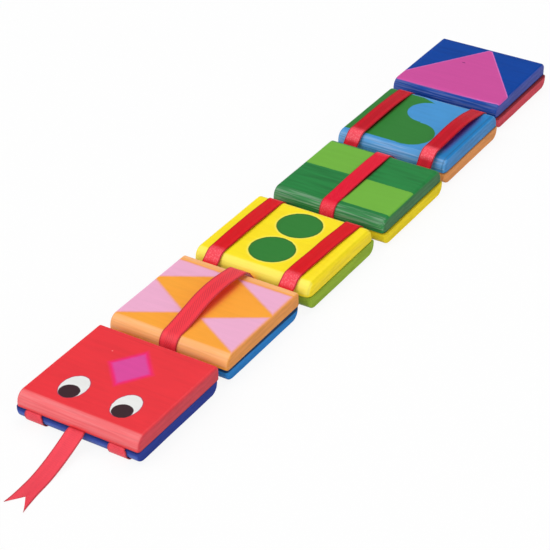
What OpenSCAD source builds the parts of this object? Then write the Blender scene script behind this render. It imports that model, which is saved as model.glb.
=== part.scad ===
// Jacob's ladder toy: six painted wooden blocks in a row, joined by ribbon straps.
// Each block is two boards glued face to face, and the ends of the straps are held in the
// seam between them. X runs across the row, Y along it from the head to the tail, and Z up.
// The row lies on the lower straps at z = 0, and the origin is under the middle of the whole.

/* [Blocks] */
// Width of a block, across the row
block_w = 60; // [44:1:90]
// Length of a block, along the row
block_l = 58.5; // [44:0.5:90]
// Thickness of each of the two boards in a block
board_t = 6.8; // [6:0.1:10]
// Space between two neighbouring blocks
block_gap = 6; // [4:0.5:10]
// Radius of the rounded nose along a board's front and back
nose_r = 4.8; // [3:0.1:5]
// Radius along the back of the two nearest upper boards, where no strap lies close
back_r = 1.6; // [1:0.1:4]
// Radius along the back of the tail's upper board, likewise
tail_r = 2.4; // [1:0.1:4]
// Radius along the outer side edges of a board
side_r = 1.2; // [0.5:0.1:2]
// Radius of the eased edges where the two boards meet
seam_r = 0.5; // [0.2:0.1:0.8]
// Radius of a board's four corners, seen from above
corner_r = 1.5; // [0.8:0.1:3]
// How much of the sideways wander of the laid row to keep
wander = 1; // [0:0.1:1]

/* [Straps] */
// Width of a ribbon strap
strap_w = 8; // [5:0.5:11]
// Thickness of a ribbon strap
strap_t = 0.4; // [0.3:0.05:0.6]
// Free space round a strap
strap_gap = 0.1; // [0.06:0.01:0.15]
// Bare strip between an outer strap and the side of the block
strap_margin = 5.2; // [3.5:0.1:8]
// Length of each strap end that is glued in the seam
tail_l = 12; // [6:0.5:18]
// How far the loosest straps stand off the nose beside their junction
slack = 2.4; // [0:0.1:3]
// Height of the arch in the centre strap over block 2
arch_2 = 2.2; // [0.2:0.1:5]
// Height of the arch in the two outer straps over block 3
arch_3 = 0.5; // [0.2:0.1:3]
// Height of the arch in the centre strap over block 4
arch_4 = 0.5; // [0.2:0.1:3]
// Height of the arch in the left strap over block 5
arch_5_left = 0.7; // [0.2:0.1:3]
// Height of the arch in the right strap over block 5
arch_5_right = 1.8; // [0.2:0.1:5]

/* [Tongue] */
// Width of the forked tongue
tongue_w = 8; // [5:0.5:12]
// Width over the two points of the tongue
tongue_tip_w = 9.8; // [5:0.1:14]
// How far the tongue reaches in front of the head
tongue_reach = 44; // [28:1:60]
// Distance over which the tongue comes down from the seam
tongue_drop = 29; // [16:1:36]
// Depth of the fork
fork_depth = 7; // [3:0.5:12]
// Turn of the tongue to the right, in degrees
tongue_turn = 2.5; // [0:0.5:6]

/* [Hidden] */
$fn = 64;
blocks = 6;
pitch = block_l + block_gap;
row_l = blocks * block_l + (blocks - 1) * block_gap;
// Sideways place of each block, as the row lies when it is put down by hand
block_side = [-0.9, -0.8, 0.5, 2.5, 1.0, -2.5];
// Sideways place of each lower board against its upper board, as the two were glued together
lower_side = [-0.7, -0.4, 0.6, 0.7, 0.3, 1.0];
// Sideways place of the left, centre and right strap of each junction, likewise
strap_side = [
    [-1.4, -0.9, -2.2], [1.0, -0.9, -0.2], [1.5, 1.5, -0.6], [0.9, 2.1, 0.4], [-0.7, -0.7, -0.7]
];

// x = 0 is half way between the two outermost sides
middle_side = (min([for (n = [0 : blocks - 1]) block_side[n] + min(0, lower_side[n])])
    + max([for (n = [0 : blocks - 1]) block_side[n] + max(0, lower_side[n])])) / 2;
// A strap's centre line runs this far off the wood
strap_off = strap_gap + strap_t / 2;
// The boards stand this far above the table, on the lower straps
lift = strap_gap + strap_t;
seam_z = lift + board_t;
pocket_h = strap_t + 2 * strap_gap;
outer_x = block_w / 2 - strap_margin - strap_w / 2;
// The turned tongue starts this far in front of the seam, to clear the head's front edge
tongue_start = tongue_w / 2 * sin(tongue_turn);
// Its farther point lies this far in front of the head, and y = 0 is half way along the whole
tongue_tip = tongue_start + tongue_reach * cos(tongue_turn) + tongue_tip_w / 2 * sin(tongue_turn);
front_y = (tongue_tip - row_l - lift) / 2;
// Length of the stretch in which the tongue widens towards its points
flare_l = 2 * fork_depth;
// Cutters run this far past what they cut
over = 1;
// Number of straight steps in a strap's small bends, its bends round a nose and its arch
bend_steps = 4;
nose_steps = 9;
arch_steps = 16;
// Number of straight steps in the stretch where the tongue comes down
drop_steps = 12;
// How the straps lie over each block: [height of the arch, how far the strap stands off the
// nose beside the junction, place of the arch's highest point along the face from 0 to 1]
flat = [0, 0, 0.5];
over_2 = [arch_2, slack, 0.62];
over_3 = [arch_3, 0.15 * slack, 0.5];
over_4 = [arch_4, 0.1 * slack, 0.6];
over_5_left = [arch_5_left, 0.4 * slack, 0.4];
over_5_right = [arch_5_right, slack, 0.4];

top_paint = ["#ee3e46", "#fbae45", "#ffe227", "#2a8846", "#4897db", "#1349ab"];
bottom_paint = ["#2c3b85", "#3178be", "#86a93a", "#e3cc28", "#d98d4c", "#cf4a58"];
ribbon_red = "#d71f30";

// Row layout. Blocks are numbered 1 to 6 from the head, and junction j lies between
// block j and block j + 1. The straps of an odd junction run under the blocks, and those
// of an even junction run over them. LEFT, CENTRE and RIGHT name a junction's three straps.
LEFT = -1;
CENTRE = 0;
RIGHT = 1;
function block_x(i) = wander * (block_side[i - 1] - middle_side);
function block_y(i) = front_y + (i - 1) * pitch;
function runs_under(j) = j % 2 == 1;
function strap_x(j, side) =
    side * outer_x + wander * (strap_side[j - 1][side - LEFT] - middle_side);
// The slack strap over block 2 leaves room for a sharper back edge below it
function back_radius(i) =
    i == 1 ? back_r
    : i == 2 ? max(back_r, nose_r - slack / (sqrt(2) - 1))
    : i == blocks ? tail_r
    : nose_r;
// A strap lies along the nearer or the farther block of its junction. It is glued into that
// block's outer seam end, and into the seam end of the other block that comes after it.
function on_nearer(j, side) = runs_under(j) ? side != CENTRE : side == CENTRE;
function lie_of(j, side) =
    j == 2 ? (side == CENTRE ? over_2 : over_3)
    : j == 4 ? (side == CENTRE ? over_4 : side == LEFT ? over_5_left : over_5_right)
    : flat;

// Points along part of a circle round c, from angle a0 to a1
function arc(c, r, a0, a1, steps) =
    [for (n = [0 : steps]) let (a = a0 + (a1 - a0) * n / steps) c + r * [cos(a), sin(a)]];

// Side view of a strap: its wood runs from 0 to block_l along y, and z is 0 at the seam.
// The strap comes out of the block's own seam end at y = 0, goes up round the nose and
// along the face, leaves the far nose and drops into the seam of the next block.
far_nose = [block_l - nose_r, board_t - nose_r];
next_edge = [block_l + block_gap, pocket_h];
across = next_edge - far_nose;
function across_turn(stand) =
    atan2(across[1], across[0]) - asin((nose_r + stand + 2 * strap_off) / norm(across));
// Stretches s, from 0 to 1, so that peak comes to one half
function about_peak(s, peak) =
    peak < 0.5 ? 1 - pow(1 - s, ln(0.5) / ln(1 - peak)) : pow(s, ln(0.5) / ln(peak));
function rise(s, lie) = lie[1] * s + lie[0] * sin(180 * about_peak(s, lie[2]));
// A strap that lies flat needs no points between the bends
function face_line(off, lie) = lie == flat ? [] : [
    for (n = [1 : arch_steps - 1]) let (s = n / arch_steps)
        [nose_r + s * (block_l - 2 * nose_r), board_t + off + rise(s, lie)]
];
// off is the line's distance from its block's wood. The next block's edge is on the strap's
// other side, so there the line is next_off away.
function strap_line(off, lie) = let (next_off = 2 * strap_off - off, turn = across_turn(lie[1]))
    concat(
        [[tail_l, pocket_h - off]],
        arc([0, pocket_h], off, 270, 180, bend_steps),
        arc([nose_r, board_t - nose_r], nose_r + off, 180, 90, nose_steps),
        face_line(off, lie),
        arc(far_nose, nose_r + lie[1] + off, 90, 90 + turn, nose_steps),
        arc(next_edge, next_off, 270 + turn, 270, bend_steps),
        [[block_l + block_gap + tail_l, pocket_h - next_off]]
    );
function backwards(list) = [for (n = [len(list) - 1 : -1 : 0]) list[n]];

// Moves children that are drawn at the front corner of a block's seam to block i
module at_block(i) translate([0, block_y(i), seam_z]) children();

// Extrudes a side view, drawn in y and z, to width w about the middle
module across_row(w) rotate([90, 0, 90]) linear_extrude(height = w, center = true) children();

// A rectangle from 0 to w and 0 to h, with radius r_low on its lower corners, r_near on the
// upper corner at 0 and r_far on the one at w
module rounded(w, h, r_low, r_near, r_far) {
    polygon([
        [r_low, 0], [w - r_low, 0], [w, r_low], [w, h - r_far],
        [w - r_far, h], [r_near, h], [0, h - r_near], [0, r_low]
    ]);
    for (x = [r_low, w - r_low]) translate([x, r_low]) circle(r_low);
    translate([r_near, h - r_near]) circle(r_near);
    translate([w - r_far, h - r_far]) circle(r_far);
}

// One board with its glued face down at z = 0 and its painted face up. r_back is the radius
// along its back.
module plain_board(r_back) intersection() {
    across_row(block_w) rounded(block_l, board_t, seam_r, nose_r, r_back);
    translate([-block_w / 2, block_l, 0]) rotate([90, 0, 0])
        linear_extrude(height = block_l) rounded(block_w, board_t, seam_r, side_r, side_r);
    translate([-block_w / 2, 0, 0]) linear_extrude(height = board_t)
        rounded(block_w, block_l, corner_r, corner_r, corner_r);
}

// The shallow pocket for a ribbon end of width w, open at the seam and at the front or the back
module pocket(x, w, at_front) {
    length = tail_l + strap_gap;
    translate([x - w / 2 - strap_gap, at_front ? -over : block_l - length, -over])
        cube([w + 2 * strap_gap, length + over, pocket_h + over]);
}

// Pockets in block i for the straps of junction j
module pockets(i, j) for (side = [LEFT, CENTRE, RIGHT])
    pocket(strap_x(j, side) - block_x(i), strap_w, on_nearer(j, side));

// The upper board carries the even junction beside its block, and the lower one the odd
module board(i, under) translate([block_x(i), 0, 0]) at_block(i) mirror([0, 0, under ? 1 : 0])
    difference() {
        translate([under ? wander * lower_side[i - 1] : 0, 0, 0])
            plain_board(under ? nose_r : back_radius(i));
        for (j = [max(1, i - 1) : min(blocks - 1, i)]) if (runs_under(j) == under) pockets(i, j);
        if (i == 1 && under) rotate([0, 0, tongue_turn]) pocket(0, tongue_w, true);
    }
module top_board(i) color(top_paint[i - 1]) board(i, false);
module bottom_board(i) color(bottom_paint[i - 1]) board(i, true);

// Strap of junction j, drawn along the nearer block and turned round for the farther one
module strap(j, side) color(ribbon_red) {
    near = on_nearer(j, side);
    lie = lie_of(j, side);
    translate([strap_x(j, side), near ? 0 : block_l, 0]) at_block(near ? j : j + 1)
        mirror([0, near ? 0 : 1, 0]) mirror([0, 0, runs_under(j) ? 1 : 0])
            across_row(strap_w) polygon(concat(
                strap_line(strap_gap, lie), backwards(strap_line(strap_gap + strap_t, lie))
            ));
}

// Side view of the tongue, with y = 0 at the front of the head and z = 0 on the table
tongue_z = seam_z - pocket_h;
tongue_fall = tongue_z + strap_gap;
drop_l = min(tongue_drop, tongue_reach - fork_depth);
tongue_slope = atan(2 * tongue_fall / drop_l);
function tongue_line(off) = concat(
    [[tail_l, tongue_z + off]],
    arc([0, tongue_z], off, 90, 90 + tongue_slope, bend_steps),
    [for (n = [1 : drop_steps]) let (s = n / drop_steps)
        [-s * drop_l - off * sin(tongue_slope) * (1 - s),
            off - strap_gap + tongue_fall * pow(1 - s, 2)]],
    [[-tongue_reach - over, off - strap_gap]]
);
module forked_tongue() color(ribbon_red)
    translate([block_x(1), front_y - tongue_start, 0]) rotate([0, 0, tongue_turn]) intersection() {
        across_row(tongue_tip_w + tongue_w) polygon(concat(
            tongue_line(strap_gap), backwards(tongue_line(strap_gap + strap_t))
        ));
        translate([0, 0, -over]) linear_extrude(height = seam_z + over) polygon([
            [-tongue_w / 2, tail_l + over], [-tongue_w / 2, flare_l - tongue_reach],
            [-tongue_tip_w / 2, -tongue_reach], [0, fork_depth - tongue_reach],
            [tongue_tip_w / 2, -tongue_reach], [tongue_w / 2, flare_l - tongue_reach],
            [tongue_w / 2, tail_l + over]
        ]);
    }

top_board(1);  // block_1_top_board
bottom_board(1);  // block_1_bottom_board
top_board(2);  // block_2_top_board
bottom_board(2);  // block_2_bottom_board
top_board(3);  // block_3_top_board
bottom_board(3);  // block_3_bottom_board
top_board(4);  // block_4_top_board
bottom_board(4);  // block_4_bottom_board
top_board(5);  // block_5_top_board
bottom_board(5);  // block_5_bottom_board
top_board(6);  // block_6_top_board
bottom_board(6);  // block_6_bottom_board
strap(1, LEFT);  // strap_1_2_left
strap(1, CENTRE);  // strap_1_2_centre
strap(1, RIGHT);  // strap_1_2_right
strap(2, LEFT);  // strap_2_3_left
strap(2, CENTRE);  // strap_2_3_centre
strap(2, RIGHT);  // strap_2_3_right
strap(3, LEFT);  // strap_3_4_left
strap(3, CENTRE);  // strap_3_4_centre
strap(3, RIGHT);  // strap_3_4_right
strap(4, LEFT);  // strap_4_5_left
strap(4, CENTRE);  // strap_4_5_centre
strap(4, RIGHT);  // strap_4_5_right
strap(5, LEFT);  // strap_5_6_left
strap(5, CENTRE);  // strap_5_6_centre
strap(5, RIGHT);  // strap_5_6_right
forked_tongue();
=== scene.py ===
"""Looks of a wooden jacob's ladder: painted boards, woven ribbon straps and a forked tongue.

Everything is in metres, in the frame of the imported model: X across the row, Y along it from
the head to the tail, Z up, with the table at z = 0. Sizes below that end in _MM are in
millimetres, and each block's own coordinates start at the middle of its front edge.
"""
import math

import bmesh
import bpy
from mathutils import Matrix, Vector, noise


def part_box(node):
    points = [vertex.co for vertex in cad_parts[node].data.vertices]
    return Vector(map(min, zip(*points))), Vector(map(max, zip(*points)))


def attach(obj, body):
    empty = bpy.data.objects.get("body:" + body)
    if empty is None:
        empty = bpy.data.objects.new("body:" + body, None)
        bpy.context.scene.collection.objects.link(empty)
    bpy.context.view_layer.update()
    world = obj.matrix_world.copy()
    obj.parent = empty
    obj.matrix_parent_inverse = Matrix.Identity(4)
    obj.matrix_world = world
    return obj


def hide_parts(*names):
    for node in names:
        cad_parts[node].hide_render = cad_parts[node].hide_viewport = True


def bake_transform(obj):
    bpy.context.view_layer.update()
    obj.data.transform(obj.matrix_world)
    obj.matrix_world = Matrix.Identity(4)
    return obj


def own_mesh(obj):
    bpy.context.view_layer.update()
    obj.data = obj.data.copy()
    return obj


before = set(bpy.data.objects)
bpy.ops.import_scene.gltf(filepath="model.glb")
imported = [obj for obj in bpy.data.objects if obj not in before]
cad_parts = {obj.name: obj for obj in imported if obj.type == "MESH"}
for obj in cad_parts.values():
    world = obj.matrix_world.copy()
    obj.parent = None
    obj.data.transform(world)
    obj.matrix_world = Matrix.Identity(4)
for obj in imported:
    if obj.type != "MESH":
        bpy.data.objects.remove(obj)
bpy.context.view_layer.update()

MM = 0.001
BLOCKS = range(1, 7)
JUNCTIONS = range(1, 6)
SIDES = ("left", "centre", "right")

# The wood, as in the part's source: the noses, the back edges of the upper boards where they
# are smaller, the long sides and the edges at the seam
NOSE_R_MM = 4.8
BACK_R_MM = {1: 1.6, 2: 1.6, 6: 2.4}
SIDE_R_MM = 1.2
SEAM_R_MM = 0.5
# The right sides of the upper boards are rubbed rounder, some more than others
RIGHT_SIDE_R_MM = {1: 1.3, 2: 1.3, 3: 2.8, 4: 2.2, 5: 2.0, 6: 1.4}
# How far the front of each lower board stands in from the upper one's
LOWER_INSET_MM = {1: 0.2, 2: 0.2, 3: 0.0, 4: 0.2, 5: 0.2, 6: 0.2}

# The ribbons. A tail is an end that is glued into a seam, in a shallow pocket
STRAP_W_MM = 8.0
STRAP_T_MM = 0.4
STRAP_GAP_MM = 0.1
STRAP_OFF_MM = STRAP_GAP_MM + STRAP_T_MM / 2
POCKET_H_MM = STRAP_T_MM + 2 * STRAP_GAP_MM
TAIL_MM = 12.0
# The tongue: its width in the seam and at its points, how far out they lie and where it comes
# down to the table, how far it is turned, and the depth of its fork
TONGUE_W_MM = 8.0
TONGUE_TIP_W_MM = 10.4
TONGUE_REACH_MM = 44.0
TONGUE_DROP_MM = 29.0
TONGUE_TURN_DEG = 2.5
FORK_MM = 8.0
# How much it has spread at each edge, and how far its points lie to the right of its line
TONGUE_SPREAD_MM = 0.3
TONGUE_TIP_ASIDE_MM = 0.7


def srgb(red, green, blue):
    """A colour given in 0 to 255 as a monitor shows it, as Blender's linear values."""
    def linear(value):
        value /= 255
        return value / 12.92 if value <= 0.04045 else ((value + 0.055) / 1.055) ** 2.4
    return (linear(red), linear(green), linear(blue), 1.0)


# Paint on the blocks, from the head to the tail
TOP_PAINT = ["red", "orange", "yellow", "dark_green", "light_blue", "royal_blue"]
BOTTOM_PAINT = ["navy", "mid_blue", "yellow_green", "dull_yellow", "dull_orange", "coral"]
COLOURS = {
    "red": srgb(234, 51, 60),
    "orange": srgb(252, 165, 54),
    "yellow": srgb(255, 228, 30),
    "dark_green": srgb(34, 128, 62),
    "light_blue": srgb(70, 149, 211),
    "royal_blue": srgb(4, 66, 156),
    "navy": srgb(46, 64, 148),
    "mid_blue": srgb(45, 127, 198),
    "yellow_green": srgb(146, 176, 56),
    "dull_yellow": srgb(238, 213, 38),
    "dull_orange": srgb(224, 150, 90),
    "coral": srgb(207, 74, 88),
}
# The paint on the sides of the upper boards, from the head to the tail: darker, greyer copies of
# the top paint, as painted shade and painted reflection
SIDE_SHADED_PAINT = [srgb(208, 62, 74), srgb(228, 148, 72), srgb(250, 222, 30), srgb(60, 110, 68),
              srgb(66, 130, 188), srgb(74, 84, 158)]
# Painted shade over each upper board's seam, where shade falls between the boards: how dark it is
# at the sides, and how far below the painted face it starts, in mm. At the noses it is equally
# dark on all
PAINTED_SEAM_SHADE = {1: (0.5, 5.9), 2: (0.2, 6.2), 3: (0.1, 6.0), 4: (0.5, 5.9), 5: (0.5, 5.9),
           6: (0.7, 5.6)}
NOSE_PAINTED_SEAM_SHADE = 0.35
# The same on the lower boards, with where it starts at the front and at the back
LOWER_PAINTED_SEAM_SHADE = {1: (0.6, 5.6, 5.6), 2: (0.95, 5.3, 4.3), 3: (0.1, 6.0, 6.0),
                 4: (0.4, 6.0, 6.0), 5: (0.35, 6.0, 6.0), 6: (0.7, 5.6, 5.6)}
SEAM_SHADE_EDGE_MM = 0.6
# Dark lines along the upper boards' right sides: place in mm from the side, and how dark
SIDE_LINES = {3: (1.1, 0.15), 5: (1.8, 0.45)}
# Each strap gets its own copy of the ribbon's colour, lighter or deeper as painted light and
# shade for how the light falls on it, and its weave shows more on some. For each: its colour, how
# much darker the hollows of the twill are, how bright its stripes are, how strong the painted
# highlight on its bends is, and its gloss
RIBBONS = {
    "deep_red": (srgb(213, 14, 26), 0.10, 1.1, 0.75, 0.12),
    "wine_red": (srgb(188, 10, 32), 0.10, 1.2, 0.85, 0.10),
    "bright_red": (srgb(238, 54, 68), 0.28, 1.05, 0.1, 0.25),
    "rose_red": (srgb(224, 18, 50), 0.10, 1.05, 0.35, 0.14),
    "front_red": (srgb(232, 62, 78), 0.10, 1.05, 0.1, 0.25),
    "tongue_red": (srgb(234, 66, 82), 0.12, 1.05, 0.0, 0.25),
}
# The straps that aren't deep red
STRAP_RIBBONS = {"strap_2_3_centre": "bright_red", "strap_4_5_centre": "rose_red",
                 "strap_1_2_left": "front_red", "strap_1_2_right": "front_red",
                 "strap_4_5_left": "wine_red", "strap_4_5_right": "wine_red"}
BEND_HIGHLIGHT_RED = srgb(250, 84, 100)
GLINT_PINK = srgb(255, 150, 160)
TWILL_PITCH_MM = 1.0
TWILL_SLANT = 0.8
TWILL_RELIEF = 0.5
WEFT_PITCH_MM = 0.34
WEFT_RELIEF = 0.25
# Two numbers in brackets say from where something shows and from where it is full. Across
# the ribbon, in mm: the selvedge from the edge inwards, and a stripe beside the middle
SELVEDGE_MM = (0.65, 0.30)
STRIPE_STARTS_MM = (1.3, 2.0)
STRIPE_ENDS_MM = (2.9, 3.4)
# Along a strap, in mm: half way along its block's face, and from there a painted highlight where
# it bends over each nose
MIDDLE_OF_STRAP_MM = 45.0
BEND_HIGHLIGHT_STARTS_MM = (23.5, 27.5)
BEND_HIGHLIGHT_ENDS_MM = (31.5, 34.5)


# Where the blocks lie

def block_box(i):
    """Lowest and highest corner of block i, of its two boards together."""
    low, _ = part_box(f"block_{i}_bottom_board")
    _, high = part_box(f"block_{i}_top_board")
    return low, high


head_low, head_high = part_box("block_1_top_board")
HEAD_MIDDLE_X = (head_low.x + head_high.x) / 2
SEAM_Z_MM = head_low.z / MM
BOARD_T_MM = (head_high.z - head_low.z) / MM
BLOCK_L_MM = (block_box(1)[1].y - block_box(1)[0].y) / MM
BLOCK_GAP_MM = (block_box(2)[0].y - block_box(1)[1].y) / MM
FACE_L_MM = BLOCK_L_MM - 2 * NOSE_R_MM


# Shader nodes

class Shading:
    """Adds nodes to one new material. Every value may be a number or another node's output."""

    def __init__(self, name):
        self.material = bpy.data.materials.new(name)
        self.material.use_nodes = True
        self.tree = self.material.node_tree
        self.shader = self.tree.nodes["Principled BSDF"]

    def add(self, kind):
        return self.tree.nodes.new(kind)

    def feed(self, socket, value):
        if hasattr(value, "is_output"):
            self.tree.links.new(value, socket)
        else:
            socket.default_value = value

    def math(self, operation, *values):
        node = self.add("ShaderNodeMath")
        node.operation = operation
        for socket, value in zip(node.inputs, values):
            self.feed(socket, value)
        return node.outputs[0]

    def fold(self, operation, values):
        """One value from many, taken together from the first to the last."""
        found = values[0]
        for value in values[1:]:
            found = self.math(operation, found, value)
        return found

    def times(self, *values):
        return self.fold("MULTIPLY", values)

    def plus(self, *values):
        return self.fold("ADD", values)

    def minus(self, value, less):
        return self.math("SUBTRACT", value, less)

    def mix(self, share, low, high):
        node = self.add("ShaderNodeMix")
        node.data_type = "RGBA"
        self.feed(node.inputs[0], share)
        self.feed(node.inputs[6], low)
        self.feed(node.inputs[7], high)
        return node.outputs[2]

    def over(self, body, colour, *shares):
        """Lays colour over body, by all the shares multiplied together."""
        return self.mix(self.times(*shares), body, colour)

    def blend_values(self, share, low, high):
        node = self.add("ShaderNodeMix")
        self.feed(node.inputs[0], share)
        self.feed(node.inputs[2], low)
        self.feed(node.inputs[3], high)
        return node.outputs[0]

    def ramp(self, value, none, full):
        """0 at the value none and beyond it, 1 at full and beyond, and smooth between."""
        node = self.add("ShaderNodeMapRange")
        node.interpolation_type = "SMOOTHSTEP"
        self.feed(node.inputs["Value"], value)
        self.feed(node.inputs["From Min"], none)
        self.feed(node.inputs["From Max"], full)
        return node.outputs["Result"]

    def band(self, value, starts, ends):
        """1 between starts and ends, each a pair of numbers, and smooth at both."""
        return self.minus(self.ramp(value, *starts), self.ramp(value, *ends))

    def vector(self, x, y, z):
        node = self.add("ShaderNodeCombineXYZ")
        for socket, value in zip(node.inputs, (x, y, z)):
            self.feed(socket, value)
        return node.outputs[0]

    def scaled(self, place, factors):
        """The three values of a place, each times its own factor."""
        return self.vector(*[self.times(value, factor) for value, factor in zip(place, factors)])

    def cloud(self, vector, scale=1.0, detail=2.0):
        """Noise from 0 to 1."""
        node = self.add("ShaderNodeTexNoise")
        self.feed(node.inputs["Vector"], vector)
        node.inputs["Scale"].default_value = scale
        node.inputs["Detail"].default_value = detail
        return node.outputs[0]

    def place_mm(self, origin):
        """x, y and z outputs in millimetres from a point of the frame."""
        where = self.add("ShaderNodeTexCoord").outputs["Object"]
        shift = self.add("ShaderNodeVectorMath")
        shift.operation = "SUBTRACT"
        self.feed(shift.inputs[0], where)
        shift.inputs[1].default_value = origin
        size = self.add("ShaderNodeVectorMath")
        size.operation = "SCALE"
        self.feed(size.inputs[0], shift.outputs[0])
        size.inputs["Scale"].default_value = 1 / MM
        split = self.add("ShaderNodeSeparateXYZ")
        self.feed(split.inputs[0], size.outputs[0])
        return split.outputs

    def bump(self, height, distance_mm, strength, under=None):
        node = self.add("ShaderNodeBump")
        node.inputs["Strength"].default_value = strength
        node.inputs["Distance"].default_value = distance_mm * MM
        self.feed(node.inputs["Height"], height)
        if under is not None:
            self.feed(node.inputs["Normal"], under)
        return node.outputs[0]


# Printed shapes. Each is a distance in millimetres, positive inside the shape.

def length_of(s, dx, dy):
    return s.math("SQRT", s.plus(s.math("POWER", dx, 2.0), s.math("POWER", dy, 2.0)))


def disc(s, x, y, centre, radius):
    dx = s.minus(x, centre[0])
    dy = s.minus(y, centre[1])
    return s.minus(radius, length_of(s, dx, dy))


def oval(s, x, y, centre, half_w, half_l):
    dx = s.math("DIVIDE", s.minus(x, centre[0]), half_w)
    dy = s.math("DIVIDE", s.minus(y, centre[1]), half_l)
    return s.times(s.minus(1.0, length_of(s, dx, dy)), half_w)


def left_of(s, x, y, start, end):
    """Distance to the left of the line from start to end."""
    run = Vector(end) - Vector(start)
    run.normalize()
    across = s.times(s.minus(y, start[1]), run.x)
    along = s.times(s.minus(x, start[0]), run.y)
    return s.minus(across, along)


def either(s, *shapes):
    return s.fold("MAXIMUM", shapes)


def both(s, *shapes):
    """What lies inside all the shapes."""
    return s.fold("MINIMUM", shapes)


def without(s, shape, hole):
    return s.math("MINIMUM", shape, s.times(hole, -1.0))


def corners(s, x, y, points):
    """A convex shape with these corners, in anticlockwise order."""
    ends = points[1:] + points[:1]
    return both(s, *[left_of(s, x, y, start, end) for start, end in zip(points, ends)])


# The prints on the upper boards: each function returns (shape, colour, edge softness) layers

EYE_WHITE = srgb(236, 236, 234)
EYE_BLACK = srgb(58, 32, 40)
EYE_RIM = srgb(176, 50, 90)
ROSE = srgb(222, 74, 158)
HOT_PINK = srgb(244, 30, 116)
PALE_SPOT = srgb(250, 150, 150)
PINK_EDGE = srgb(238, 158, 150)
CANDY_PINK = srgb(241, 176, 209)
PALE_YELLOW = srgb(255, 238, 92)
DARK_GREEN_EDGE = srgb(48, 112, 34)
LEAF_GREEN = srgb(46, 127, 50)
LIME = srgb(114, 181, 62)
ORCHID = srgb(207, 81, 158)
LILAC = srgb(226, 120, 196)
PURPLE_SPOT = srgb(120, 50, 110)
DEEP_BLUE = srgb(32, 128, 196)


def head_print(s, x, y):
    nose = [(9.6, 38.7), (-0.5, 50.0), (-9.4, 37.1), (1.1, 25.8)]
    layers = [
        (s.plus(corners(s, x, y, nose), 0.8), HOT_PINK, 2.8),
        (s.minus(corners(s, x, y, nose), 0.5), ROSE, 2.0),
        (disc(s, x, y, (-13.6, 44.3), 0.35), PALE_SPOT, 0.5),
    ]
    for eye, pupil in (((-12.2, 15.6), (-12.1, 12.1)), ((13.3, 15.9), (13.8, 12.3))):
        white = oval(s, x, y, eye, 5.75, 7.8)
        layers.append((s.plus(white, 0.3), EYE_RIM, 0.4))
        layers.append((white, EYE_WHITE, 0.4))
        layers.append((disc(s, x, y, pupil, 4.5), EYE_BLACK, 0.35))
    return layers


def triangle_print(s, x, y):
    right_end = s.minus(28.7, x)
    x = s.math("ABSOLUTE", x)
    beside = corners(s, x, y, [(30.2, 4.2), (30.2, 35.0), (4.8, 19.2)])
    behind = corners(s, x, y, [(30.2, 37.0), (30.2, 53.2), (2.5, 53.2)])
    pink = both(s, either(s, beside, behind), right_end)
    return [(s.plus(pink, 0.4), PINK_EDGE, 1.8), (pink, CANDY_PINK, 1.8)]


def disc_print(s, x, y):
    near = disc(s, x, y, (0.35, 17.5), 10.6)
    far = disc(s, x, y, (0.6, 41.4), 10.6)
    dots = either(s, near, far)
    return [(s.plus(dots, 0.9), PALE_YELLOW, 1.2),
            (s.plus(dots, 0.2), DARK_GREEN_EDGE, 0.5),
            (s.minus(dots, 0.5), LEAF_GREEN, 0.8)]


def checker_print(s, x, y):
    behind = corners(s, x, y, [(0.4, 30.3), (0.4, 54.2), (-30.6, 54.2), (-30.6, 29.6)])
    before = corners(s, x, y, [(0.4, 6.4), (30.2, 6.4), (30.2, 30.3), (0.4, 30.3)])
    return [(either(s, behind, before), LIME, 0.5)]


def wave_print(s, x, y):
    """The S shape: a field with a round bulge in front and a round bay behind."""
    field = both(s, left_of(s, x, y, (0.8, 0.0), (0.8, 60.0)), s.minus(54.2, y),
                 s.minus(y, 5.7), left_of(s, x, y, (-4.0, 52.0), (-10.0, 54.4)))
    bulge = disc(s, x, y, (1.9, 17.4), 12.0)
    bay = disc(s, x, y, (-0.3, 40.7), 10.6)
    far_end = both(s, s.minus(-17.5, x), s.minus(y, 40.0))
    thick_paint = s.minus(x, 22.0)
    return [(thick_paint, DEEP_BLUE, 14.0),
            (without(s, either(s, field, bulge, far_end), bay), LEAF_GREEN, 0.4)]


def roof_print(s, x, y):
    roof = [(31.0, 3.6), (31.0, 10.6), (0.2, 55.2), (-1.4, 55.2), (-31.0, 8.6), (-31.0, 1.3)]
    shape = corners(s, x, y, roof)
    return [(s.plus(shape, 0.45), LILAC, 0.5), (shape, ORCHID, 0.5),
            (oval(s, x, y, (-6.9, 36.1), 0.9, 0.4), PURPLE_SPOT, 0.6)]


PRINTS = {1: head_print, 2: triangle_print, 3: disc_print, 4: checker_print, 5: wave_print,
          6: roof_print}
# The print ends this far below the face, and its edges waver. Its ink is a little thick, and
# darker in streaks
PRINT_FACE_MM = (-0.9, -0.35)
WOBBLE_MM = 0.45
WOBBLE_SCALE = 0.55
INK_RELIEF = 0.35
INK_SHADE = 0.96


# The paint on the boards

GLOSS = {1: 0.28, 2: 0.28, 3: 0.24, 4: 0.22, 5: 0.22, 6: 0.08}
LOWER_GLOSS = 0.06
# How rough the paint is, and how much rougher where it is scratched and on the sides
ROUGHNESS = 0.30
SCRATCHED = 0.12
SIDES_ROUGHER = 0.3
# The paint on an upper board's noses, where they are worn and where a highlight is painted on
# them. The others show their own paint, this share paler
WORN_AND_HIGHLIT_PAINT = {3: srgb(255, 243, 116)}
PALE_SHARE = 0.34
# How pale each upper board's front nose is, and its back nose, from wear and a painted highlight
WORN_AND_HIGHLIT = {1: 0.40, 2: 0.45, 3: 0.60, 4: 0.36, 5: 0.38, 6: 0.20}
BACK_WORN_AND_HIGHLIT = {1: 0.0, 2: 0.50, 3: 0.10, 4: 0.0, 5: 0.15, 6: 0.0}
# The lower board with a painted highlight along its front nose, its paint there and how much of
# it shows
LOWER_NOSE_HIGHLIGHT = {1: (srgb(80, 106, 188), 0.8)}
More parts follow.
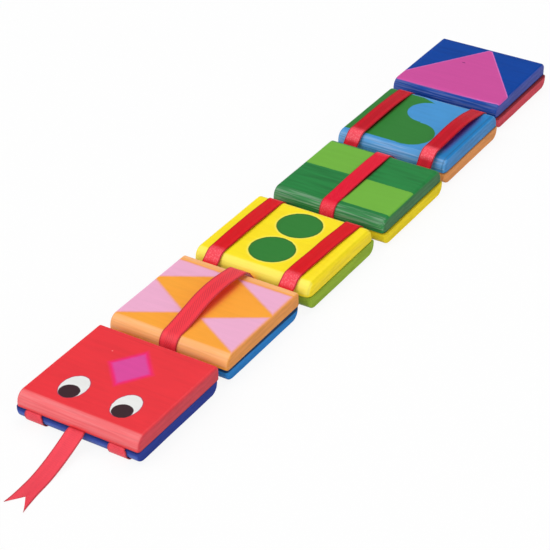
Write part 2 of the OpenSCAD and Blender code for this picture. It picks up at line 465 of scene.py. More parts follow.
# How streaky the paint is on each upper board's face, and on its noses
STREAKS = {1: 0.12, 2: 0.12, 3: 0.10, 4: 0.8, 5: 0.15, 6: 0.3}
NOSE_STREAKS = {1: 0.25, 2: 0.25, 3: 0.1, 4: 0.9, 5: 0.8, 6: 0.9}
STREAK_DARKER = 0.32
STREAK_LIGHTER = 0.10
SIDE_LIGHTER = 0.12
DARK_LINES = 0.5
PATCH_SHARE = 0.35
# Other shades, against the brightness of the paint: streaks, patches, lines and the painted shade
# at the seams
LOWER_STREAK_SHADES = (0.90, 1.05)
SIDE_STREAK_SHADE = 0.90
PATCH_SHADE = 1.12
THICK_SHADE = 0.45
THIN_SHADE = 0.35
SEAM_SHADE_TONE = 0.2
LOWER_SEAM_SHADE_TONE = 0.15
# Height in mm and strength of the bumps, of the pores and of the streaks and prints
PORE_BUMP = (0.03, 0.3)
PAINT_BUMP = (0.05, 0.4)
STREAK_RELIEF = 0.5

# How often the patterns change, per mm across, along and down a board. The grain runs across
# the row, and the sides show brush strokes along them
GRAIN = (0.035, 0.42, 0.7)
STROKES = (0.0, 0.05, 0.8)
SIDE_STROKES = (3.0, 0.06, 0.7)
FINE_LINES = (0.05, 1.3, 1.3)
THICK_LINES = (0.03, 0.9, 0.9)
PATCHES = (0.05, 0.07, 0.05)
PORE_SCALE = 2.4
# From which value of its noise each pattern shows, and from which it is full
STREAK_EDGE = (0.30, 0.62)
PATCH_EDGE = (0.40, 0.70)
PALE_STREAK_EDGE = (0.44, 0.60)
THICK_EDGE = (0.50, 0.62)
STROKE_EDGE = (0.38, 0.62)
INK_EDGE = (0.25, 0.70)
# The same for places, in mm: the sides from the board's edge inwards, the worn and highlit noses
# and the dark lines on them from the board's end, the worn and highlit noses from the face down,
# and the thin lines from their middle
SIDE_EDGE_MM = (0.9, 0.15)
NOSE_LENGTH_MM = (4.6, 3.2)
DARK_LENGTH_MM = (6.0, 3.6)
NOSE_DEPTH_MM = (6.2, 4.6)
LINE_EDGE_MM = (0.6, 0.15)
# The band of painted highlight on a lower board, from its face up and from its front
LOWER_HIGHLIGHT_STARTS_MM = (1.6, 3.0)
LOWER_HIGHLIGHT_ENDS_MM = (4.0, 5.4)
LOWER_HIGHLIGHT_LENGTH_MM = (3.0, 0.6)

# Painted shadow beside the loose straps, tinted by the red light the ribbons throw back: its
# colour, and where it starts to fade and ends, in mm to the right of the block's middle
STRAP_SHADOW_PAINT = {
    2: [(srgb(255, 98, 62), 2.0, 7.0)],
    4: [(srgb(70, 20, 10), 3.2, 4.6)],
    5: [(srgb(100, 36, 150), 22.2, 27.2), (srgb(70, 14, 6), -18.4, -15.6)],
}
# Its left edge lies under the strap, this far to the left of where it starts to fade
SHADOW_UNDER_MM = (5.5, 4.5)
# How far from the block's front and back the painted shadow starts, and from where it is full
SHADOW_ENDS_MM = (4.0, 14.0)


def shade_of(colour, factor):
    return [min(1.0, c * factor) for c in colour[:3]] + [1.0]


def towards_white(colour, share):
    return [c + (1 - c) * share for c in colour[:3]] + [1.0]


class BoardPaint(Shading):
    """Brush paint on one board. origin is the middle of the front edge of its painted face,
    and half_w is half its width in mm. depth is how far a spot is from that face, beside is 1
    on the long sides and between 1 elsewhere, and relief is what stands up."""

    def __init__(self, name, origin, half_w):
        super().__init__(name + "_paint")
        self.place = self.place_mm(origin)
        x, _, z = self.place
        self.depth = self.math("ABSOLUTE", z)
        edge, full = SIDE_EDGE_MM
        self.beside = self.ramp(self.math("ABSOLUTE", x), half_w - edge, half_w - full)
        self.between = self.minus(1.0, self.beside)
        grain = self.cloud(self.scaled(self.place, GRAIN), detail=4.0)
        strokes = self.cloud(self.scaled(self.place, STROKES), detail=3.0)
        self.streak = self.blend_values(self.beside, grain, strokes)
        self.fine = self.scaled(self.place, FINE_LINES)
        self.scratch = self.cloud(self.fine, detail=3.0)
        self.relief = self.times(self.streak, STREAK_RELIEF)

    def streaked(self, colour, darker, lighter):
        return self.mix(self.ramp(self.streak, *STREAK_EDGE), shade_of(colour, darker),
                        shade_of(colour, lighter))

    def finish(self, body, gloss):
        self.feed(self.shader.inputs["Base Color"], body)
        rougher = self.plus(self.times(self.scratch, SCRATCHED),
                            self.times(self.beside, SIDES_ROUGHER))
        self.feed(self.shader.inputs["Roughness"], self.plus(ROUGHNESS, rougher))
        self.shader.inputs["Specular IOR Level"].default_value = gloss
        pores = self.bump(self.cloud(self.fine, PORE_SCALE, 4.0), *PORE_BUMP)
        self.feed(self.shader.inputs["Normal"], self.bump(self.relief, *PAINT_BUMP, pores))
        return self.material


def lower_paint(name, i, origin, half_w):
    """The paint of block i's lower board, with painted shade under the seam."""
    colour = COLOURS[name]
    s = BoardPaint(name, origin, half_w)
    y = s.place[1]
    body = s.streaked(colour, *LOWER_STREAK_SHADES)
    # A painted highlight along the front nose
    if i in LOWER_NOSE_HIGHLIGHT:
        pale, share = LOWER_NOSE_HIGHLIGHT[i]
        body = s.over(body, pale, s.band(s.depth, LOWER_HIGHLIGHT_STARTS_MM, LOWER_HIGHLIGHT_ENDS_MM),
                      s.between, s.ramp(y, *LOWER_HIGHLIGHT_LENGTH_MM), share)
    # Painted shade under the seam
    darkness, start, start_behind = LOWER_PAINTED_SEAM_SHADE[i]
    start_here = s.blend_values(s.math("DIVIDE", y, BLOCK_L_MM), start, start_behind)
    above = s.minus(s.depth, start_here)
    body = s.over(body, shade_of(colour, LOWER_SEAM_SHADE_TONE),
                  s.ramp(above, 0.0, SEAM_SHADE_EDGE_MM), darkness)
    return s.finish(body, LOWER_GLOSS)


def upper_paint(name, i, origin, half_w):
    """The paint of block i's upper board, with its noses paler from wear and a painted highlight,
    its sides and seam in painted shade, and its print.
    """
    colour = COLOURS[name]
    s = BoardPaint(name, origin, half_w)
    x, y, z = s.place
    body = s.streaked(colour, 1 - STREAK_DARKER * STREAKS[i], 1 + STREAK_LIGHTER * STREAKS[i])
    patches = s.ramp(s.cloud(s.scaled(s.place, PATCHES)), *PATCH_EDGE)
    body = s.over(body, shade_of(colour, PATCH_SHADE), patches, PATCH_SHARE)

    # The noses are paler, from wear and a painted highlight, in lines across the row, and have
    # thick dark lines
    to_end = s.math("MINIMUM", y, s.minus(BLOCK_L_MM, y))
    behind = s.math("GREATER_THAN", y, BLOCK_L_MM / 2)
    on_nose = s.times(s.ramp(to_end, *NOSE_LENGTH_MM), s.ramp(s.depth, *NOSE_DEPTH_MM),
                        s.between)
    lines = NOSE_STREAKS[i]
    pale_streaks = s.times(s.ramp(s.scratch, *PALE_STREAK_EDGE), lines)
    body = s.over(body, WORN_AND_HIGHLIT_PAINT.get(i, towards_white(colour, PALE_SHARE)), on_nose,
                  s.plus(1 - lines, pale_streaks), s.blend_values(behind, WORN_AND_HIGHLIT[i], BACK_WORN_AND_HIGHLIT[i]))
    thick = s.ramp(s.cloud(s.scaled(s.place, THICK_LINES)), *THICK_EDGE)
    body = s.over(body, shade_of(colour, THICK_SHADE), thick,
                  s.ramp(to_end, *DARK_LENGTH_MM), DARK_LINES * lines)

    # The sides in painted shade, with painted shade over the seam
    strokes = s.cloud(s.scaled((1.0, y, z), SIDE_STROKES), detail=3.0)
    side = s.mix(s.ramp(strokes, *STROKE_EDGE), shade_of(SIDE_SHADED_PAINT[i - 1], SIDE_STREAK_SHADE),
                 shade_of(SIDE_SHADED_PAINT[i - 1], 1 + SIDE_LIGHTER * lines))
    body = s.mix(s.beside, body, side)
    darkness, start = PAINTED_SEAM_SHADE[i]
    body = s.over(body, shade_of(colour, SEAM_SHADE_TONE),
                  s.ramp(s.depth, start, start + SEAM_SHADE_EDGE_MM),
                  s.blend_values(s.beside, NOSE_PAINTED_SEAM_SHADE, darkness))

    # The print, the painted shadows beside the loose straps and the thin lines
    wobble = s.times(s.minus(s.cloud(s.vector(x, y, 0.0), WOBBLE_SCALE), 0.5), WOBBLE_MM)
    on_face = s.ramp(z, *PRINT_FACE_MM)
    for shape, ink, soft in PRINTS[i](s, x, y):
        inside = s.times(s.ramp(s.plus(shape, wobble), -soft / 2, soft / 2), on_face)
        shade = s.mix(s.ramp(s.streak, *INK_EDGE), shade_of(ink, INK_SHADE), ink)
        body = s.mix(inside, body, shade)
        s.relief = s.plus(s.relief, s.times(inside, INK_RELIEF))
    # Painted shadow beside the loose straps
    for shadow_colour, start, end in STRAP_SHADOW_PAINT.get(i, []):
        left, left_full = (start - under for under in SHADOW_UNDER_MM)
        body = s.over(body, shadow_colour, s.ramp(x, end, start), s.ramp(x, left, left_full),
                      s.ramp(to_end, *SHADOW_ENDS_MM), on_face)
    if i in SIDE_LINES:
        place, dark = SIDE_LINES[i]
        off = s.math("ABSOLUTE", s.minus(x, half_w - place))
        body = s.over(body, shade_of(colour, THIN_SHADE), s.ramp(off, *LINE_EDGE_MM), dark)
    return s.finish(body, GLOSS[i])


# The weave of the ribbons

# How close the ribbon's blotches, painted glints and fuzz are. The blotches are drawn out along
# it
BLOTCH_SCALE = 0.35
BLOTCH_STRETCH = 0.12
GLINT_SCALE = 1.2
FUZZ_SCALE = 2.2
# From where they show and from where they are full, and the same for the threads that stand
# out of the hollows
BLOTCH_EDGE = (0.40, 0.75)
GLINT_EDGE = (0.50, 0.62)
THREAD_EDGE = (0.05, 0.80)
# Their brightness against the ribbon's, and how much of them shows
BLOTCHES = (1.2, 0.3)
FUZZ = (1.3, 0.25)
SELVEDGE = (0.5, 0.7)
STRIPE_SHARE = 0.8
GLINT_SHARE = 0.35
WEAVE_BUMP = (0.035, 0.7)
RIBBON_ROUGHNESS = 0.42


def ribbon_material(name, colour, twill_depth, stripes, bend_highlight, gloss):
    """Twill ribbon: the map's u is the place across it and v the place along it, in mm."""
    s = Shading(name)
    cloth = s.add("ShaderNodeUVMap")
    cloth.uv_map = "ribbon"
    split = s.add("ShaderNodeSeparateXYZ")
    s.feed(split.inputs[0], cloth.outputs[0])
    u, v = split.outputs[0], split.outputs[1]
    slant = s.plus(u, s.times(v, TWILL_SLANT))
    twill = s.math("SINE", s.times(slant, 2 * math.pi / TWILL_PITCH_MM))
    weft = s.math("SINE", s.times(v, 2 * math.pi / WEFT_PITCH_MM))
    weave = s.plus(s.times(twill, TWILL_RELIEF), s.times(weft, WEFT_RELIEF), 0.5)
    body = s.mix(s.ramp(weave, *THREAD_EDGE), shade_of(colour, 1 - twill_depth), colour)

    here = s.vector(u, v, 0.0)
    blotch = s.cloud(s.vector(u, s.times(v, BLOTCH_STRETCH), 0.0), BLOTCH_SCALE)
    shade, share = BLOTCHES
    body = s.over(body, shade_of(colour, shade), s.ramp(blotch, *BLOTCH_EDGE), share)
    shade, share = FUZZ
    body = s.over(body, shade_of(colour, shade), s.cloud(here, FUZZ_SCALE, 4.0), share)
    from_middle = s.math("ABSOLUTE", u)
    stripe = s.band(from_middle, STRIPE_STARTS_MM, STRIPE_ENDS_MM)
    body = s.over(body, shade_of(colour, stripes), stripe, STRIPE_SHARE)

    # A painted highlight where the strap bends over each nose, with painted glints in it
    off_face = s.math("ABSOLUTE", s.minus(v, MIDDLE_OF_STRAP_MM))
    bend = s.band(off_face, BEND_HIGHLIGHT_STARTS_MM, BEND_HIGHLIGHT_ENDS_MM)
    body = s.over(body, BEND_HIGHLIGHT_RED, bend, bend_highlight)
    glints = s.ramp(s.cloud(here, GLINT_SCALE, 1.0), *GLINT_EDGE)
    body = s.over(body, GLINT_PINK, bend, bend_highlight, glints, GLINT_SHARE)
    inwards, full = SELVEDGE_MM
    selvedge = s.ramp(from_middle, STRAP_W_MM / 2 - inwards, STRAP_W_MM / 2 - full)
    shade, share = SELVEDGE
    body = s.over(body, shade_of(colour, shade), selvedge, share)
    s.feed(s.shader.inputs["Base Color"], body)
    s.shader.inputs["Roughness"].default_value = RIBBON_ROUGHNESS
    s.shader.inputs["Specular IOR Level"].default_value = gloss
    s.feed(s.shader.inputs["Normal"], s.bump(weave, *WEAVE_BUMP))
    return s.material


# Mesh helpers

# Closer than this counts as the same place, in metres
NEAR = 0.00002
Y_AXIS, Z_AXIS = 1, 2


def in_scene(name, data):
    """A new object in the scene, at the origin."""
    made = bpy.data.objects.new(name, data)
    bpy.context.scene.collection.objects.link(made)
    return made


def finished_mesh(name, bm):
    mesh = bpy.data.meshes.new(name)
    bm.to_mesh(mesh)
    bm.free()
    return mesh


def new_object(name, bm, material):
    mesh = finished_mesh(name, bm)
    mesh.materials.append(material)
    for face in mesh.polygons:
        face.use_smooth = True
    return in_scene(name, mesh)


def round_edges(bm, edges, radius, segments):
    bmesh.ops.bevel(bm, geom=edges, offset=radius, offset_type="OFFSET", segments=segments,
                    affect="EDGES", profile=0.5, material=-1, clamp_overlap=True)


def turn(bm, verts, angle, axis):
    bmesh.ops.rotate(bm, cent=(0, 0, 0), matrix=Matrix.Rotation(angle, 3, axis), verts=verts)


def near(a, b):
    return abs(a - b) < NEAR


def faces_along(face, axis):
    """Whether a face looks along the axis of this number, either way."""
    return abs(face.normal[axis]) > 0.5


# The boards

NOSE_SEGMENTS = 14
SIDE_SEGMENTS = 6
SEAM_SEGMENTS = 3
# Each board's mesh is cut into this many parts across and along, so that it can be sanded
BOARD_CUTS = 14
CUT_NEAR = 1e-7
# Sanding takes off this much at most, in mm, the sooner the higher its slope, and keeps off
# the seam. It is uneven in spots, this many to the metre, and each board has its own
SANDED_MM = 0.16
SANDED_SLOPE = 6
SANDED_FROM_MM = 2.0
SANDED_SPOTS = (90, 90, 60)
NEXT_BOARD = 7.3
LOWER_BOARDS = 10
# How far the boxes that cut the pockets stand out of the board
CUTTER_OVER_MM = 1.0


def runs_under(j):
    """Whether the straps of junction j run under the blocks."""
    return j % 2 == 1


def on_nearer_block(j, side):
    """Whether a strap of junction j lies on the nearer block, and not on the farther one."""
    return (side == "centre") != runs_under(j)


def strap_lanes(i, under):
    """The ribbons that are glued into one board: the x and width of each in metres, whether
    it is at the board's front, and how far it is turned."""
    lanes = []
    for j in (i - 1, i):
        if j in JUNCTIONS and runs_under(j) == under:
            for side in SIDES:
                node = f"strap_{j}_{j + 1}_{side}"
                low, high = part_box(node)
                at_front = on_nearer_block(j, side)
                own = at_front == (i == j)
                stray = strap_side_stray(node, 0.0 if own else 1.0) * MM
                lanes.append(((low.x + high.x) / 2 + stray, STRAP_W_MM * MM, at_front, 0.0))
    if i == 1 and under:
        lanes.append((HEAD_MIDDLE_X, TONGUE_W_MM * MM, True, math.radians(TONGUE_TURN_DEG)))
    return lanes


def pocket_cutter(i, under):
    """One mesh of shallow boxes, where the ends of the ribbons lie in the board."""
    low, high = block_box(i)
    depth = POCKET_H_MM * MM
    length = (TAIL_MM + STRAP_GAP_MM) * MM
    over = CUTTER_OVER_MM * MM
    bm = bmesh.new()
    for x, width, at_front, angle in strap_lanes(i, under):
        made = bmesh.ops.create_cube(bm, size=1.0)["verts"]
        size = (width + 2 * STRAP_GAP_MM * MM, length + over, depth + over)
        bmesh.ops.scale(bm, vec=size, verts=made)
        middle = (length - over) / 2
        bmesh.ops.translate(bm, vec=(0, middle, (depth - over) / 2), verts=made)
        turn(bm, made, angle, "Z")
        if not at_front:
            turn(bm, made, math.pi, "Z")
        if under:
            turn(bm, made, math.pi, "Y")
        edge = low.y if at_front else high.y
        bmesh.ops.translate(bm, vec=(x, edge, SEAM_Z_MM * MM), verts=made)
    return bm


def sand(bm, seed):
    """Takes a little off the rounded edges, unevenly, as sanding by hand does."""
    bm.normal_update()
    across, along, up = SANDED_SPOTS
    for v in bm.verts:
        slope = 1 - max(abs(part) for part in v.normal)
        spot = Vector((v.co.x * across + seed * NEXT_BOARD, v.co.y * along, v.co.z * up))
        amount = 0.5 + 0.5 * noise.noise(spot)
        bite = SANDED_MM * min(1.0, slope * SANDED_SLOPE) * (v.co.z > SANDED_FROM_MM * MM)
        v.co -= v.normal * (amount * bite * MM)


def board(i, level):
    """One board with its rounded noses and sides, in its place."""
    node = f"block_{i}_{level}_board"
    under = level == "bottom"
    low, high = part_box(node)
    size = high - low
    centre = (low + high) / 2
    if under:
        size.y -= LOWER_INSET_MM[i] * MM
        centre.y += LOWER_INSET_MM[i] / 2 * MM
    bm = bmesh.new()
    bmesh.ops.create_cube(bm, size=1.0)
    bmesh.ops.scale(bm, vec=size, verts=bm.verts)
    bmesh.ops.translate(bm, vec=(0, 0, size.z / 2), verts=bm.verts)
    back_r = NOSE_R_MM if under else BACK_R_MM.get(i, NOSE_R_MM)
    for end, radius in ((-1, NOSE_R_MM), (1, back_r)):
        nose = [e for e in bm.edges
                if all(near(v.co.z, size.z) and near(v.co.y, end * size.y / 2) for v in e.verts)]
        round_edges(bm, nose, radius * MM, NOSE_SEGMENTS)
    right_r = SIDE_R_MM if under else RIGHT_SIDE_R_MM[i]
    for side, radius in ((-1, SIDE_R_MM), (1, right_r)):
        outline = [e for e in bm.edges if all(near(v.co.x, side * size.x / 2) for v in e.verts)
                   and any(v.co.z > NEAR for v in e.verts)]
        round_edges(bm, outline, radius * MM, SIDE_SEGMENTS)
    bm.normal_update()
    rim = [e for e in bm.edges if all(near(v.co.z, 0) for v in e.verts)
           and not all(faces_along(f, Z_AXIS) for f in e.link_faces)]
    round_edges(bm, rim, SEAM_R_MM * MM, SEAM_SEGMENTS)
    for k in range(1, BOARD_CUTS):
        share = k / BOARD_CUTS - 0.5
        for way in (Vector((1, 0, 0)), Vector((0, 1, 0))):
            bmesh.ops.bisect_plane(bm, geom=bm.verts[:] + bm.edges[:] + bm.faces[:],
                                   plane_co=way * (share * size.dot(way)), plane_no=way,
                                   dist=CUT_NEAR)
    sand(bm, i + (LOWER_BOARDS if under else 0))
    if under:
        turn(bm, bm.verts, math.pi, "Y")
    bmesh.ops.translate(bm, vec=(centre.x, centre.y, SEAM_Z_MM * MM), verts=bm.verts)

    paint = (BOTTOM_PAINT if under else TOP_PAINT)[i - 1]
    face_z = low.z if under else high.z
    make_paint = lower_paint if under else upper_paint
    material = make_paint(paint, i, (centre.x, low.y, face_z), size.x / MM / 2)
    made = new_object(node + "_wood", bm, material)
    cut_pockets(made, pocket_cutter(i, under))
    normals = made.modifiers.new("even_normals", "WEIGHTED_NORMAL")
    normals.keep_sharp = True
    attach(made, f"block_{i}")
    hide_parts(node)


def cut_pockets(piece, cutter_bm):
    """Cuts the boxes of cutter_bm out of piece."""
    if not cutter_bm.faces:
        cutter_bm.free()
        return
    mesh = finished_mesh("pockets", cutter_bm)
    cutter = in_scene("pockets", mesh)
    cut = piece.modifiers.new("pockets", "BOOLEAN")
    cut.operation = "DIFFERENCE"
    cut.solver = "EXACT"
    cut.object = cutter
    graph = bpy.context.evaluated_depsgraph_get()
    result = bpy.data.meshes.new_from_object(piece.evaluated_get(graph))
    piece.modifiers.remove(cut)
    old = piece.data
    piece.data = result
    bpy.data.meshes.remove(old)
    bpy.data.objects.remove(cutter)
    bpy.data.meshes.remove(mesh)


# The ribbons. A route is a list of (y, z) points of the ribbon's middle, in millimetres: y
# from the block's own seam end, z up from the seam.

# The mesh of a ribbon: how far apart its rows are, and how many columns it has. It is made
# flat and 2 wide, with its edges rounded by RIM_R and sharp from SHARP_FROM outwards
STATION_MM = 0.5
TONGUE_STATION_MM = 0.45
ACROSS = 12
RIM_R = 0.12
RIM_SEGMENTS = 2
SHARP_FROM = 0.86
# How finely a route is drawn: its long stretch, and its arcs in degrees
ROUTE_STEPS = 60
ARC_STEP_DEG = 6.0
EDGE_STEP_DEG = 20
TONGUE_STEP_DEG = 8
# How a strap lies on its block: height of its arch, how far it stands off the nose beside
# the junction, and the place of the arch's highest point along the face, from 0 to 1
FLAT = (0.0, 0.0, 0.5)
LIES = {
    "strap_2_3_centre": (2.2, 2.4, 0.62),
    "strap_2_3_left": (0.5, 0.36, 0.5),
    "strap_2_3_right": (0.5, 0.36, 0.5),
    "strap_4_5_centre": (0.5, 0.24, 0.6),
    "strap_4_5_left": (0.7, 0.96, 0.4),
    "strap_4_5_right": (1.8, 2.4, 0.4),
}
# Straps that stand up more than this, in mm, are made in three lengths
LOOSE_MM = 1.0
# How far a strap strays sideways, in mm, at its own seam, half way and at the next seam
STRAYS = {
    "strap_2_3_centre": (0.4, -0.4, -0.2),
    "strap_2_3_right": (0.7, 0.0, -0.8),
    "strap_3_4_right": (-0.8, 0.0, 0.0),
}
# Half the width of the straps that have spread a little
HALF_WIDTHS_MM = {"strap_2_3_centre": 4.4, "strap_1_2_left": 4.5, "strap_1_2_right": 4.5}
# How much the edges waver, in a slow and a quick wave, and where each strap's waves start
WAVER_MM = 0.08
SLOW_WAVE = 0.11
QUICK_WAVE = 0.29
QUICK_START = 2.7
QUICK_SHARE = 0.5
WAVER_SEEDS = {"left": 0.3, "centre": 1.1, "right": 2.2}
NEXT_JUNCTION = 1.7
# The selvedge has come to its free width this far outside the seam
FREE_AFTER_MM = 2.0


def arc(centre, radius, start, end, step=ARC_STEP_DEG):
    count = max(2, int(abs(end - start) / step))
    turns = [math.radians(start + (end - start) * k / count) for k in range(count + 1)]
    return [Vector((centre[0] + radius * math.cos(t), centre[1] + radius * math.sin(t)))
            for t in turns]


def smooth_step(value, low, high):
    share = min(1.0, max(0.0, (value - low) / (high - low)))
    return share * share * (3 - 2 * share)


def rise(share, lie):
    """Height of a strap over the face, where share runs from its own seam end to the other."""
    height, stand, peak = lie
    if peak < 0.5:
        even = 1 - (1 - share) ** (math.log(0.5) / math.log(1 - peak))
    else:
        even = share ** (math.log(0.5) / math.log(peak))
    return stand * share + height * math.sin(math.pi * even)


def strap_route(lie):
    """The same line as in the part's source."""
    off = STRAP_OFF_MM
    stand = lie[1]
    own_nose = Vector((NOSE_R_MM, BOARD_T_MM - NOSE_R_MM))
    far_nose = Vector((BLOCK_L_MM - NOSE_R_MM, BOARD_T_MM - NOSE_R_MM))
    next_edge = Vector((BLOCK_L_MM + BLOCK_GAP_MM, POCKET_H_MM))
    across = next_edge - far_nose
    lean = math.degrees(math.atan2(across.y, across.x)
                        - math.asin((NOSE_R_MM + stand + 2 * off) / across.length))
    points = [Vector((TAIL_MM, POCKET_H_MM - off))]
    points += arc((0, POCKET_H_MM), off, 270, 180, EDGE_STEP_DEG)
    points += arc(own_nose, NOSE_R_MM + off, 180, 90)
    for k in range(1, ROUTE_STEPS):
        share = k / ROUTE_STEPS
        points.append(Vector((NOSE_R_MM + share * FACE_L_MM,
                              BOARD_T_MM + off + rise(share, lie))))
    points += arc(far_nose, NOSE_R_MM + stand + off, 90, 90 + lean)
    points += arc(next_edge, off, 270 + lean, 270, EDGE_STEP_DEG)
    points.append(Vector((BLOCK_L_MM + BLOCK_GAP_MM + TAIL_MM, POCKET_H_MM - off)))
    return points


def stations(points, step):
    """Points at even steps along the route, each with its direction and its distance."""
    gone = [0.0]
    for a, b in zip(points, points[1:]):
        gone.append(gone[-1] + (b - a).length)
    count = max(2, round(gone[-1] / step))
    found = []
    k = 0
    for n in range(count + 1):
        at = gone[-1] * n / count
        while k < len(points) - 2 and gone[k + 1] < at:
            k += 1
        run = gone[k + 1] - gone[k]
        share = (at - gone[k]) / run if run else 0.0
        found.append((points[k].lerp(points[k + 1], min(1.0, share)), at))
    made = []
    for n, (point, at) in enumerate(found):
        before = found[max(0, n - 1)][0]
        after = found[min(count, n + 1)][0]
        made.append((point, (after - before).normalized(), at))
    return made


def waver(at_mm, seed):
    """A slow, smooth swing between -1 and 1 along a ribbon."""
    slow = math.sin(at_mm * SLOW_WAVE + seed)
    quick = math.sin(at_mm * QUICK_WAVE + seed * QUICK_START)
    return (slow + QUICK_SHARE * quick) / (1 + QUICK_SHARE)


def nearer_edges(share):
    """Where a column of a strip goes, from -1 to 1, so that they are closer at its edges."""
    return math.sin(share * math.pi / 2)





def ribbon_piece(name, along, half_width, material, place):
    """A woven strip. along holds the stations, half_width(at) its half width in mm, and
    place(u, w, station) the point in the frame of the spot u mm from the strip's middle
    line and w mm above its middle surface. The strip is made flat and then laid."""
    rows = len(along) - 1
    bm = bmesh.new()
    bmesh.ops.create_grid(bm, x_segments=ACROSS, y_segments=rows, size=1.0)
    bmesh.ops.scale(bm, vec=(1.0, rows / 2, 1.0), verts=bm.verts)
    bmesh.ops.translate(bm, vec=(0, rows / 2, 0), verts=bm.verts)
    bmesh.ops.solidify(bm, geom=bm.faces[:], thickness=STRAP_T_MM)
    middle = sum(v.co.z for v in bm.verts) / len(bm.verts)
    bmesh.ops.translate(bm, vec=(0, 0, -middle), verts=bm.verts)
    bmesh.ops.recalc_face_normals(bm, faces=bm.faces)
    ends = [e for e in bm.edges if len({faces_along(f, Y_AXIS) for f in e.link_faces}) == 2]
    for edge in ends:
        edge.smooth = False
    rims = [e for e in bm.edges if e not in ends and all(near(abs(v.co.x), 1) for v in e.verts)
            and near(e.verts[0].co.z, e.verts[1].co.z)]
    round_edges(bm, rims, RIM_R, RIM_SEGMENTS)
    for edge in bm.edges:
        edge.smooth = edge.smooth and min(abs(v.co.x) for v in edge.verts) < SHARP_FROM
    cloth = bm.loops.layers.uv.new("ribbon")
    for face in bm.faces:
        for loop in face.loops:
            x, y = loop.vert.co.xy
            at = along[round(y)][2]
            loop[cloth].uv = (nearer_edges(x) * STRAP_W_MM / 2, at)
    for v in bm.verts:
        station = along[round(v.co.y)]
        v.co = place(nearer_edges(v.co.x) * half_width(station[2]), v.co.z, station)
    return new_object(name, bm, material)


def strap_side_stray(node, share):
    """Sideways stray of a strap, where share runs from its own seam to the next, in mm."""
    own, half, far = STRAYS.get(node, (0.0, 0.0, 0.0))
    if share < 0.5:
        return own + (half - own) * smooth_step(share, 0.0, 0.5)
    return half + (far - half) * smooth_step(share, 0.5, 1.0)


def strap(j, side, cloths):
    """The strap of junction j, between blocks j and j + 1."""
    node = f"strap_{j}_{j + 1}_{side}"
    cloth = cloths[STRAP_RIBBONS.get(node, "deep_red")]
    nearer = on_nearer_block(j, side)
    own, other = (j, j + 1) if nearer else (j + 1, j)
    lie = LIES.get(node, FLAT)
    low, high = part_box(node)
    middle_x = (low.x + high.x) / 2
    block_low, block_high = block_box(own)
    seed = j * NEXT_JUNCTION + WAVER_SEEDS[side]
    up = -1 if runs_under(j) else 1
    forward = 1 if nearer else -1
    own_end = block_low.y if nearer else block_high.y
    along = stations(strap_route(lie), STATION_MM)
    top_mm = BOARD_T_MM + STRAP_OFF_MM

    def place(u, w, station):
        point, direction, at = station
        share = min(1.0, max(0.0, (point.x - NOSE_R_MM) / FACE_L_MM))
        stray = strap_side_stray(node, share)
        y = point.x - direction.y * w
        z = point.y + direction.x * w
        return Vector((middle_x + (u + stray) * MM,
                       own_end + forward * y * MM, (SEAM_Z_MM + up * z) * MM))

    whole = along[-1][2]
    in_seam = STRAP_W_MM / 2 - WAVER_MM
    spread = HALF_WIDTHS_MM.get(node, in_seam) - in_seam

    def half_width(at):
        free = smooth_step(min(at, whole - at), TAIL_MM, TAIL_MM + FREE_AFTER_MM)
        return in_seam + spread * free + WAVER_MM * waver(at, seed)

    def length(part, stretch):
        piece = ribbon_piece(node + part, stretch, half_width, cloth, place)
        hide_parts(node)
        return piece

    def across_hinge(piece):
        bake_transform(piece)

    if lie[0] + lie[1] <= LOOSE_MM:
        across_hinge(length("_ribbon", along))
        return

    # A loose strap is made in three lengths
    arch_start = next(k for k, s in enumerate(along)
                      if s[0].y > BOARD_T_MM and s[0].x >= NOSE_R_MM)
    arch_end = next(k for k, s in enumerate(along) if s[0].x > BLOCK_L_MM / 2
                    and s[0].y < top_mm)
    along[arch_end][0].y = top_mm
    root = length("_ribbon_root", along[:arch_start + 1])
    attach(root, f"block_{own}")
    arch = length("_ribbon_arch", along[arch_start:arch_end + 1])
    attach(arch, f"block_{own}")
    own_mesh(arch)
    across_hinge(length("_ribbon_end", along[arch_end:]))


# The forked tongue

# How steeply it comes down at first, the length of its flare, how much farther its right
# point reaches than its left one, and how far the points turn up
TONGUE_CURVE = 1.6
TONGUE_FLARE_MM = 18.0
RIGHT_TIP_MORE_MM = 1.8
TIPS_UP_MM = 0.5
# The larger each of these, the nearer to the points the flare's width, its fork and the
# turning up begin. The last rounds the bottom of the fork
FLARE_POWER = 2.5
FORK_POWER = 1.5
TIPS_UP_POWER = 4
FORK_ROUND = 0.9


